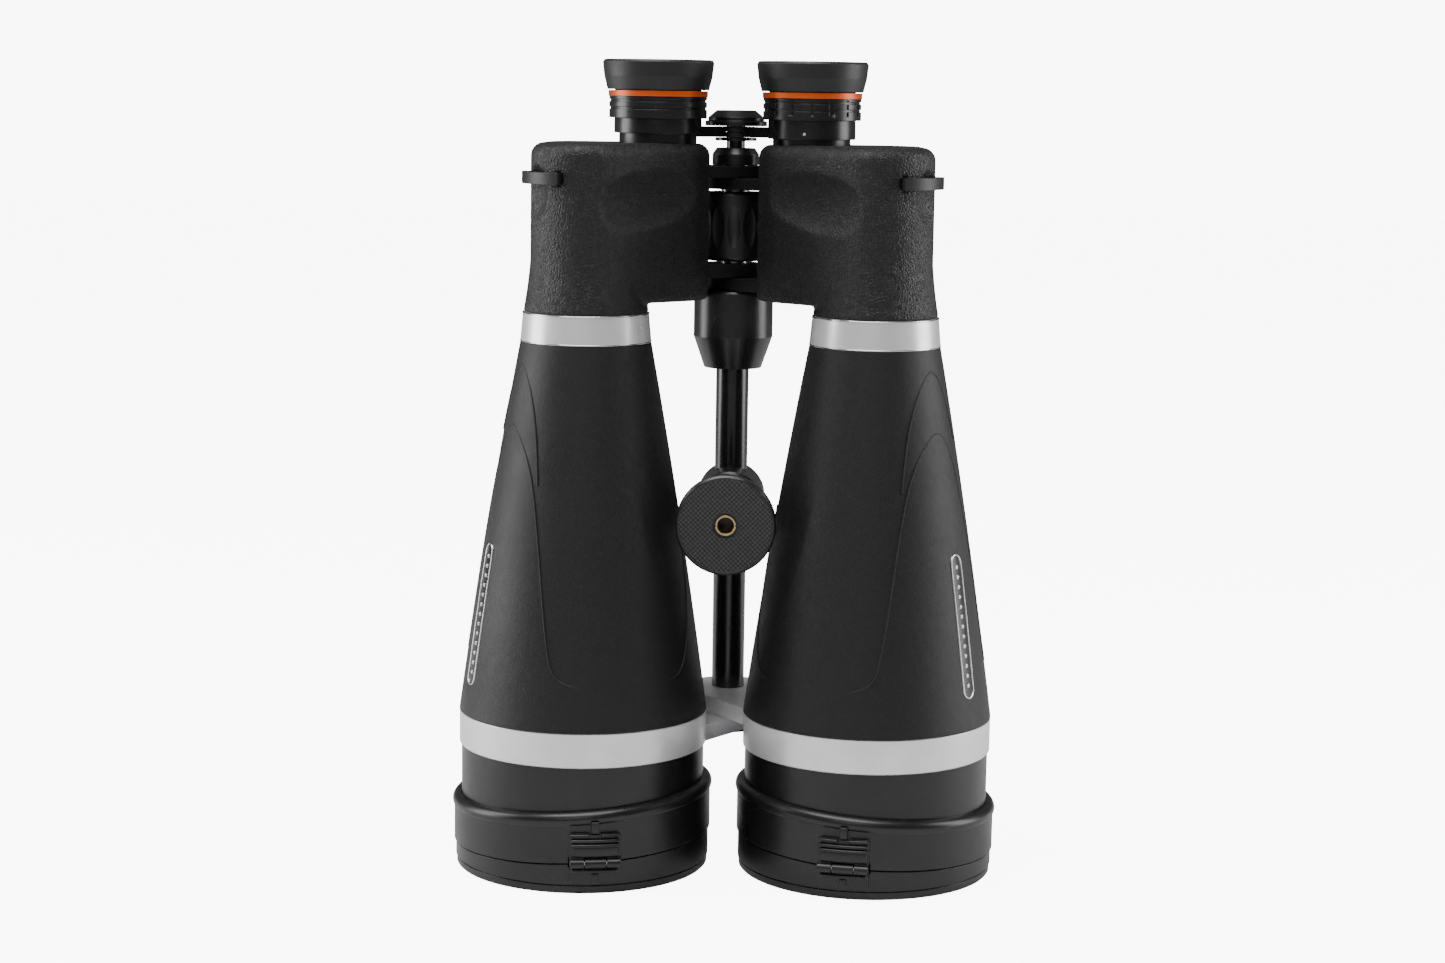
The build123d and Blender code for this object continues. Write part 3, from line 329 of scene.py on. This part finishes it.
def plastic(name, colour, rough, depth=0.012, scale=2600.0, radius=0.35, coat=0.0):
    """Injection-moulded plastic or smooth rubber with a fine sandy skin."""
    material, tree, shader = new_finish(name)
    grain = use(tree, FINE, Scale=scale)
    marks = use(tree, HANDLING, Patch_size=40.0, Dust=0.22)
    edges = use(tree, EDGES, Radius=radius * MM)
    shade = tuple(channel * 0.8 for channel in colour)
    tinted = mixed(tree, marks.outputs["Patches"], shade, colour)
    worn = tuple(min(1.0, channel * 2.2 + 0.02) for channel in colour)
    rubbed = mixed(tree, math_node(tree, "MULTIPLY", edges.outputs["Edge"], 0.3), tinted, worn)
    dusty = mixed(tree, marks.outputs["Dust"], rubbed, DUST)
    wire(tree, dusty, shader.inputs["Base Color"])
    patchy_roughness(tree, shader, marks, rough + 0.06, rough - 0.05)
    bumped(tree, shader, grain.outputs["Height"], depth * MM, edges.outputs["Normal"])
    return finish_shader(material, shader, Specular_IOR_Level=0.5, Coat_Weight=coat, Coat_Roughness=0.25)


def metal(name, colour, rough, depth=0.006, scale=3000.0, radius=0.3, metallic=1.0):
    """Blasted or anodised metal with polished edges and faint smears."""
    material, tree, shader = new_finish(name)
    grain = use(tree, FINE, Scale=scale)
    marks = use(tree, HANDLING, Patch_size=55.0, Dust=0.1)
    edges = use(tree, EDGES, Radius=radius * MM)
    shade = tuple(channel * 0.9 for channel in colour)
    tinted = mixed(tree, marks.outputs["Patches"], shade, colour)
    bright = tuple(min(1.0, channel * 1.25 + 0.03) for channel in colour)
    polished = mixed(tree, math_node(tree, "MULTIPLY", edges.outputs["Edge"], 0.8), tinted, bright)
    wire(tree, polished, shader.inputs["Base Color"])
    smear = ramp(tree, marks.outputs["Patches"], 0.0, 1.0, rough + 0.05, rough - 0.05)
    wire(tree, math_node(tree, "SUBTRACT", smear, math_node(tree, "MULTIPLY", edges.outputs["Edge"], 0.15)),
         shader.inputs["Roughness"])
    bumped(tree, shader, grain.outputs["Height"], depth * MM, edges.outputs["Normal"])
    return finish_shader(material, shader, Metallic=metallic)


def glass(name, colour, rough=0.02, tint=(1.0, 1.0, 1.0)):
    """Clear optical glass with a faint coating colour and a few specks of dust."""
    material, tree, shader = new_finish(name)
    marks = use(tree, HANDLING, Patch_size=60.0, Dust=0.15)
    dusty = mixed(tree, marks.outputs["Dust"], colour, (0.6, 0.6, 0.6))
    wire(tree, dusty, shader.inputs["Base Color"])
    patchy_roughness(tree, shader, marks, rough, rough + 0.03)
    return finish_shader(
        material, shader, Metallic=0.0, Transmission_Weight=1.0, IOR=1.52, Specular_Tint=(*tint, 1.0)
    )


FINISHES = {
    "grained_rubber": rubber(
        "Grained rubber", (0.0105, 0.0105, 0.011), (0.05, 0.05, 0.052), 0.42, 0.15, 820.0,
        fade=(0.110, 0.165, 0.3),
    ),
    "black_casting": plastic("Black casting", (0.008, 0.008, 0.0085), 0.45),
    "satin_silver": metal("Satin silver", (0.92, 0.92, 0.93), 0.32, metallic=0.5),
    "black_barrel": plastic("Black barrel", (0.008, 0.008, 0.0085), 0.32),
    "smooth_rubber": rubber(
        "Smooth rubber", (0.010, 0.010, 0.0105), (0.04, 0.04, 0.042), 0.48, 0.03, 2100.0
    ),
    "badge_metal": metal("Badge metal", (0.012, 0.012, 0.013), 0.25, metallic=0.2),
    "coated_glass": glass("Coated glass", (0.90, 0.96, 0.93), 0.01, (0.45, 0.85, 0.7)),
    "prism_glass": glass("Prism glass", (0.95, 0.97, 0.98), 0.02),
    "cap_plastic": plastic("Cap plastic", (0.0085, 0.0085, 0.009), 0.31),
    "steel": metal("Steel", (0.55, 0.55, 0.56), 0.28),
    "black_metal": plastic("Black metal", (0.010, 0.010, 0.011), 0.3, 0.008, 3000.0, 0.35, 0.15),
    "orange_ring": metal("Orange ring", (0.78, 0.105, 0.008), 0.36, metallic=0.35),
    "inner_plastic": plastic("Inner plastic", (0.010, 0.010, 0.011), 0.55),
    "eyecup_rubber": plastic("Eyecup rubber", (0.010, 0.010, 0.0105), 0.46, 0.02, 1800.0, 0.4),
    "rod_black": plastic("Rod black", (0.009, 0.009, 0.010), 0.24, 0.006, 3000.0, 0.3, 0.25),
    "wheel_rubber": plastic("Wheel rubber", (0.010, 0.010, 0.0105), 0.42, 0.02, 1800.0, 0.4),
    "pad_rubber": rubber(
        "Pad rubber", (0.010, 0.010, 0.0105), (0.045, 0.045, 0.046), 0.5, 0.06, 1500.0, weave=0.9
    ),
    "brass": metal("Brass", (0.62, 0.46, 0.20), 0.3),
    "polished_silver": metal("Polished silver", (0.78, 0.78, 0.79), 0.16),
    "mark_white": plastic("Mark white", (0.75, 0.75, 0.74), 0.5),
    "mark_grey": plastic("Mark grey", (0.10, 0.10, 0.10), 0.45),
}


def dress_cad_nodes():
    """Gives every CAD node the finish of its material slot."""
    for node in frame["record"]["subparts"]:
        piece = nodes[node["node"]]
        for slot in piece.material_slots:
            slot.material = FINISHES[node["material_slot"]]


# --- modelling helpers ---
def clear_selection():
    if bpy.context.object and bpy.context.object.mode != "OBJECT":
        bpy.ops.object.mode_set(mode="OBJECT")
    bpy.ops.object.select_all(action="DESELECT")


def named(name, finish, *, smooth=30.0):
    """Names the active new piece, applies its place and gives it a finish."""
    piece = bpy.context.active_object
    piece.name = name
    bpy.ops.object.transform_apply(location=True, rotation=True, scale=True)
    bpy.ops.object.shade_smooth_by_angle(angle=radians(smooth))
    piece.data.materials.clear()
    piece.data.materials.append(FINISHES[finish])
    return piece


def only(piece):
    """Makes one piece the selected and active one."""
    clear_selection()
    piece.select_set(True)
    bpy.context.view_layer.objects.active = piece
    return piece


def joined(name, pieces):
    """Joins pieces into one and names it."""
    only(pieces[0])
    for piece in pieces[1:]:
        piece.select_set(True)
    bpy.ops.object.join()
    pieces[0].name = name
    return pieces[0]


def outward(piece):
    """Merges doubles and turns every face outwards."""
    only(piece)
    bpy.ops.object.mode_set(mode="EDIT")
    bpy.ops.mesh.select_all(action="SELECT")
    bpy.ops.mesh.remove_doubles(threshold=0.00001)
    bpy.ops.mesh.normals_make_consistent(inside=False)
    bpy.ops.object.mode_set(mode="OBJECT")
    return piece


def bevelled(width):
    """Bevels every edge of the active piece."""
    bpy.ops.object.mode_set(mode="EDIT")
    bpy.ops.mesh.select_all(action="SELECT")
    bpy.ops.mesh.bevel(offset=width * MM, segments=1)
    bpy.ops.object.mode_set(mode="OBJECT")


def middle(node):
    """The middle of a node's box."""
    low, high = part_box(node)
    return (Vector(low) + Vector(high)) / 2


def half_width(node):
    low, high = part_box(node)
    return (high[0] - low[0]) / 2


class Bell:
    """The rubber-covered bell of one barrel: a place on its skin from an angle and a height."""

    def __init__(self, side):
        self.outwards = 1 if side == "right" else -1
        low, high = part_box(f"{side}_barrel_armour")
        self.low, self.high = low[2], high[2]
        self.axis = middle(f"{side}_barrel_armour")
        self.foot = half_width(f"{side}_barrel_armour")
        self.top = half_width(f"{side}_upper_ring")
        self.bulge = BELL_BULGE * MM
        self.turn = BELL_TURN * self.outwards

    def point(self, angle, height, proud=0.0):
        """Angle in degrees from outwards towards the underside; height in millimetres."""
        share = (height * MM - self.low) / (self.high - self.low)
        radius = self.foot + (self.top - self.foot) * share + 4 * self.bulge * share * (1 - share)
        radius += proud * MM
        bearing = radians(angle + self.turn)
        x = self.axis.x + self.outwards * radius * cos(bearing)
        return Vector((x, self.axis.y - radius * sin(bearing), height * MM))


def bead(name, points, radius, finish, closed=False):
    """A round bead along a smooth line of points, made a mesh."""
    clear_selection()
    bpy.ops.curve.primitive_nurbs_path_add()
    line = bpy.context.active_object
    line.data.splines.clear()
    spline = line.data.splines.new("NURBS")
    spline.points.add(len(points) - 1)
    for knot, point in zip(spline.points, points):
        knot.co = (*point, 1.0)
    spline.order_u = 4
    spline.use_endpoint_u = not closed
    spline.use_cyclic_u = closed
    line.data.resolution_u = 10
    line.data.bevel_depth = radius * MM
    line.data.bevel_resolution = 2
    line.data.use_fill_caps = not closed
    bpy.ops.object.convert(target="MESH")
    return named(name, finish, smooth=60.0)


# --- raised lines moulded in the bells, as angles and heights on the bell ---
FRONT_PANEL_LINE = (
    (4, 84), (7, 118), (12, 146), (20, 166), (32, 175), (45, 171), (55, 164), (62, 156),
    (67, 146), (73, 126), (78, 103), (81, 90), (84, 81.5), (92, 78.5), (106, 77.4), (122, 77),
    (138, 77.4), (149, 78.6), (156, 82), (162, 90), (170, 106), (175, 124), (178, 142),
)
OUTER_ARCH_LINE = (
    (10, 170), (15, 184), (24, 194), (34, 197.4), (46, 192), (55, 184), (61, 175), (65, 165), (68, 152),
)


def make_bell_lines(side):
    """Two thin raised lines: the arch on the shoulder and the long panel outline below it."""
    bell = Bell(side)
    pieces = []
    for number, line in enumerate((FRONT_PANEL_LINE, OUTER_ARCH_LINE)):
        points = [bell.point(angle, height) for angle, height in line]
        pieces.append(bead(f"line_{number}", points, LINE_RADIUS, "smooth_rubber"))
    lines = joined(f"{side}_bell_lines", pieces)
    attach(lines, f"{side}_half")


def make_badge_trim(side):
    """A bright rim round the badge and a row of plain pips along it."""
    bell = Bell(side)
    low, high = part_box(f"{side}_badge")
    foot, head = low[2] / MM + BADGE_END, high[2] / MM - BADGE_END

    def beside(across, height, rise=0.0):
        """A place on the bell beside the badge's middle line, by a width across."""
        radius = (bell.point(BADGE_ANGLE, height) - bell.axis).xy.length / MM
        return bell.point(BADGE_ANGLE + across / radius * 180 / pi, height + rise, BADGE_PROUD)

    points = []
    steps = 8
    for end, other, start in ((head, foot, 0.0), (foot, head, 180.0)):
        for step in range(steps + 1):
            sweep = radians(start + 180.0 * step / steps)
            points.append(beside(BADGE_HALF_WIDTH * cos(sweep), end, BADGE_HALF_WIDTH * sin(sweep)))
        edge = -BADGE_HALF_WIDTH if end == head else BADGE_HALF_WIDTH
        points += [beside(edge, end + (other - end) * share) for share in (0.25, 0.5, 0.75)]
    rim = bead(f"{side}_badge_rim", points, BADGE_RIM_RADIUS, "polished_silver", closed=True)
    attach(rim, f"{side}_half")
    pips = []
    for step in range(PIP_COUNT):
        height = foot + PIP_INSET + (head - foot - 2 * PIP_INSET) * step / (PIP_COUNT - 1)
        place = bell.point(BADGE_ANGLE, height, BADGE_PROUD)
        facing = (bell.point(BADGE_ANGLE, height, 3.0) - place).to_track_quat("Z", "Y").to_euler()
        clear_selection()
        bpy.ops.mesh.primitive_cylinder_add(
            vertices=12, radius=PIP_RADIUS * MM, depth=PIP_DEPTH * MM, location=place, rotation=facing
        )
        bevelled(PIP_BEVEL)
        pips.append(named("pip", "polished_silver"))
    row = joined(f"{side}_badge_pips", pips)
    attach(row, f"{side}_half")


# --- prism housings: the moulded covering with softened edges ---
def make_covering(side):
    """The housing's rubber covering, with every edge of the moulding softened."""
    source = nodes[f"{side}_housing_armour"]
    only(source)
    bpy.ops.object.duplicate()
    piece = bpy.context.active_object
    outward(piece)
    for kind, settings in (
        ("REMESH", {"mode": "VOXEL", "voxel_size": COVERING_VOXEL * MM, "adaptivity": 0.0}),
        ("SMOOTH", {"factor": 0.5, "iterations": 6}),
        ("DECIMATE", {"ratio": 0.62}),
    ):
        step = piece.modifiers.new(kind.lower(), kind)
        for key, value in settings.items():
            setattr(step, key, value)
        bpy.ops.object.modifier_apply(modifier=step.name)
    piece.parent = None
    covering = named(f"{side}_covering", "grained_rubber", smooth=60.0)
    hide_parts(f"{side}_housing_armour")
    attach(covering, f"{side}_half")


# --- objective caps: the ribbed rubber strap over the hinge ---
def curved_rib(side, low, high, proud, start, end):
    """A bar spun round the cap's axis, with its edges rounded."""
    outwards = 1 if side == "right" else -1
    axis = middle(f"{side}_barrel_armour")
    strap_middle = -90.0 - STRAP_ANGLE * outwards
    first, last = (radians(strap_middle + angle) for angle in (start, end))
    clear_selection()
    bpy.ops.mesh.primitive_plane_add(size=1.0)
    rib = bpy.context.active_object
    bpy.ops.object.mode_set(mode="EDIT")
    bpy.ops.mesh.select_all(action="SELECT")
    bpy.ops.transform.resize(value=((proud + STRAP_SUNK) * MM, 1.0, 1.0))
    bpy.ops.transform.resize(value=(1.0, (high - low) * MM, 1.0))
    bpy.ops.transform.rotate(value=radians(90.0), orient_axis="X", center_override=(0, 0, 0))
    reach = (STRAP_FACE - STRAP_SUNK + (proud + STRAP_SUNK) / 2) * MM
    bpy.ops.transform.translate(value=(reach, 0, (low + high) / 2 * MM))
    bpy.ops.transform.rotate(value=-first, orient_axis="Z", center_override=(0, 0, 0))
    bpy.ops.transform.translate(value=(axis.x, axis.y, 0))
    bpy.ops.mesh.spin(steps=8, angle=-(last - first), center=(axis.x, axis.y, 0), axis=(0, 0, 1))
    bpy.ops.object.mode_set(mode="OBJECT")
    outward(rib)
    only(rib)
    edge = rib.modifiers.new("round", "BEVEL")
    edge.width = min(0.45 * (high - low), 0.45 * proud + 0.2) * MM
    edge.segments = 3
    edge.limit_method = "ANGLE"
    bpy.ops.object.modifier_apply(modifier="round")
    return named("rib", "cap_plastic", smooth=50.0)


UPPER_STRAP = (  # low, high, how proud, first and last angle
    (24.0, 28.4, 0.7, -1.6, 1.6),
    (22.6, 23.8, 1.3, -10.6, -2.2),
    (22.6, 23.8, 1.3, 2.2, 10.6),
    (20.6, 21.9, 1.7, -10.2, 10.2),
    (18.9, 20.2, 2.0, -10.0, 10.0),
    (15.0, 19.2, 0.9, -9.9, 9.9),
)
LOWER_STRAP = (
    (8.9, 10.3, 1.0, -9.8, 9.8),
    (4.4, 8.6, 0.5, -1.5, 1.5),
)


def make_strap(side):
    """The strap's ribs: those above the hinge stay with the band, those below swing with the lid."""
    upper = [curved_rib(side, *rib) for rib in UPPER_STRAP]
    top = joined(f"{side}_strap_ribs", upper)
    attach(top, f"{side}_half")
    lower = [curved_rib(side, *rib) for rib in LOWER_STRAP]
    foot = joined(f"{side}_strap_foot", lower)
    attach(foot, f"{side}_lid")


# --- bright beads at both edges of the upper ring ---
def make_ring_beads(side):
    """A thin polished bead round each edge of the upper ring."""
    low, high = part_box(f"{side}_upper_ring")
    axis = middle(f"{side}_upper_ring")
    widest = half_width(f"{side}_upper_ring")
    beads = []
    for height, inside in ((low[2] + RING_BEAD_SET_IN * MM, RING_BEAD_FOOT),
                           (high[2] - RING_BEAD_SET_IN * MM, RING_BEAD_HEAD)):
        clear_selection()
        bpy.ops.mesh.primitive_torus_add(
            location=(axis.x, axis.y, height), major_radius=widest - inside * MM,
            minor_radius=RING_BEAD_RADIUS * MM, major_segments=96, minor_segments=12,
        )
        bpy.ops.object.mode_set(mode="EDIT")
        bpy.ops.mesh.select_all(action="SELECT")
        bpy.ops.transform.resize(value=(1.0, 1.0, 0.8))
        bpy.ops.object.mode_set(mode="OBJECT")
        beads.append(named("bead", "polished_silver", smooth=60.0))
    pair = joined(f"{side}_ring_beads", beads)
    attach(pair, f"{side}_half")


# --- dioptre marks and index ---
def small_bar(place, facing, width, height):
    """A thin raised mark with bevelled edges on a ring."""
    clear_selection()
    bpy.ops.mesh.primitive_cube_add(size=1.0, location=place, rotation=facing)
    bar = bpy.context.active_object
    bar.scale = (width * MM, MARK_DEPTH * MM, height * MM)
    bpy.ops.object.transform_apply(location=False, rotation=False, scale=True)
    bevelled(MARK_BEVEL)
    return named("mark", "mark_grey")


def on_ring(node, degrees, height):
    """A place on a ring's outside at an angle from the underside, and the way it faces."""
    axis = middle(node)
    radius = half_width(node)
    bearing = radians(degrees - 90.0)
    place = Vector((axis.x + radius * cos(bearing), axis.y + radius * sin(bearing), height))
    return place, (0.0, 0.0, bearing + radians(90.0))


def make_dioptre_marks():
    """A plus, a minus and a middle dot on the dioptre ring, and a white index dot below it."""
    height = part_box("right_dioptre_ring")[0][2] + MARK_RISE * MM
    spot, across, upright = (MARK_DOT, MARK_DOT), (MARK_LONG, MARK_THIN), (MARK_THIN, MARK_LONG)
    marks = []
    for degrees, bars in ((0.0, (spot,)), (MARK_ANGLE, (across, upright)), (-MARK_ANGLE, (across,))):
        place, facing = on_ring("right_dioptre_ring", degrees, height)
        marks += [small_bar(place, facing, width, tall) for width, tall in bars]
    dial = joined("right_dioptre_marks", marks)
    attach(dial, "right_dioptre")
    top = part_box("right_prism_housing")[1][2]
    axis = middle("right_eye_lens")
    radius = INDEX_REACH * MM
    bearing = radians(-90.0 - INDEX_ANGLE)
    place = Vector((axis.x + radius * cos(bearing), axis.y + radius * sin(bearing), top + INDEX_RISE * MM))
    clear_selection()
    bpy.ops.mesh.primitive_uv_sphere_add(
        segments=16, ring_count=8, radius=INDEX_RADIUS * MM, location=place
    )
    bpy.ops.object.mode_set(mode="EDIT")
    bpy.ops.mesh.select_all(action="SELECT")
    bpy.ops.transform.resize(value=(1.0, 0.55, 1.0), center_override=tuple(place))
    bpy.ops.object.mode_set(mode="OBJECT")
    dot = named("right_index_dot", "mark_white", smooth=60.0)
    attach(dot, "right_eyepiece")


# --- stage, in metres, watts and degrees ---
ROOM_LIGHT = 0.13  # what the white room sheds on the object
ROOM_SEEN, FLOOR_SEEN = 9.0, 8.6  # how bright the room and the floor look to the camera
SOFTBOXES = (  # name, place, size, power
    ("top_softbox", (-0.15, -0.35, 1.25), (1.0, 0.7), 14.0),
    ("left_softbox", (-1.20, 0.05, 0.40), (0.6, 1.4), 17.0),
    ("right_softbox", (1.20, 0.10, 0.40), (0.6, 1.4), 15.0),
    ("front_fill", (-0.25, -1.60, 0.95), (0.9, 0.6), 3.0),
)
LIGHTS_AIM = (0.0, 0.0, 0.16)
CAMERA_PLACE = (0.02624, -1.03565, 0.29942)
CAMERA_LENS = 67.27
CAMERA_YAW, CAMERA_PITCH, CAMERA_ROLL = 1.58, 8.22, 0.85


def seen_or_shed(tree, shed, seen):
    """A brightness that is one value for the light it sheds and another for what the camera sees."""
    path = add(tree, "ShaderNodeLightPath")
    return ramp(tree, path.outputs["Is Camera Ray"], 0.0, 1.0, shed, seen)


def make_stage():
    """A pale floor and a soft white room."""
    bpy.ops.object.select_all(action="DESELECT")
    bpy.ops.mesh.primitive_plane_add(size=12.0, location=(0, 0, -0.0005))
    floor = bpy.context.active_object
    floor.name = "floor"
    paper, tree, shader = new_finish("Pale floor")
    fibre = use(tree, FINE, Scale=400.0)
    pale = mixed(tree, fibre.outputs["Height"], (0.80, 0.80, 0.81), (0.86, 0.86, 0.86))
    wire(tree, pale, shader.inputs["Base Color"])
    finish_shader(paper, shader, Roughness=0.75, Emission_Color=(1.0, 1.0, 1.0, 1.0))
    wire(tree, seen_or_shed(tree, 0.0, FLOOR_SEEN), shader.inputs["Emission Strength"])
    floor.data.materials.append(paper)
    world = bpy.data.worlds.new("Studio")
    world.use_nodes = True
    room = world.node_tree
    backdrop = room.nodes["Background"]
    backdrop.inputs["Color"].default_value = (1.0, 1.0, 1.0, 1.0)
    wire(room, seen_or_shed(room, ROOM_LIGHT, ROOM_SEEN), backdrop.inputs["Strength"])
    bpy.context.scene.world = world


def softbox(name, place, size, power):
    """A rectangular area light aimed at the object."""
    bpy.ops.object.light_add(type="AREA", location=place)
    lamp = bpy.context.active_object
    lamp.name = name
    lamp.data.shape = "RECTANGLE"
    lamp.data.size, lamp.data.size_y = size
    lamp.data.energy = power
    lamp.rotation_euler = (Vector(LIGHTS_AIM) - Vector(place)).to_track_quat("-Z", "Y").to_euler()


def make_camera():
    """The camera stands before the underside, a little above the housings, and looks slightly down."""
    bpy.ops.object.camera_add(location=CAMERA_PLACE)
    camera = bpy.context.active_object
    camera.data.sensor_width = 36.0
    camera.data.lens = CAMERA_LENS
    turn = Matrix.Rotation(radians(CAMERA_YAW), 3, "Z")
    tilt = Matrix.Rotation(radians(90.0 - CAMERA_PITCH), 3, "X")
    roll = Matrix.Rotation(radians(CAMERA_ROLL), 3, "Z")
    camera.rotation_euler = (turn @ tilt @ roll).to_euler()
    bpy.context.scene.camera = camera


make_stage()
for lamp in SOFTBOXES:
    softbox(*lamp)
make_camera()
dress_cad_nodes()
for side in SIDES:
    make_covering(side)
    make_bell_lines(side)
    make_badge_trim(side)
    make_strap(side)
    make_ring_beads(side)
make_dioptre_marks()
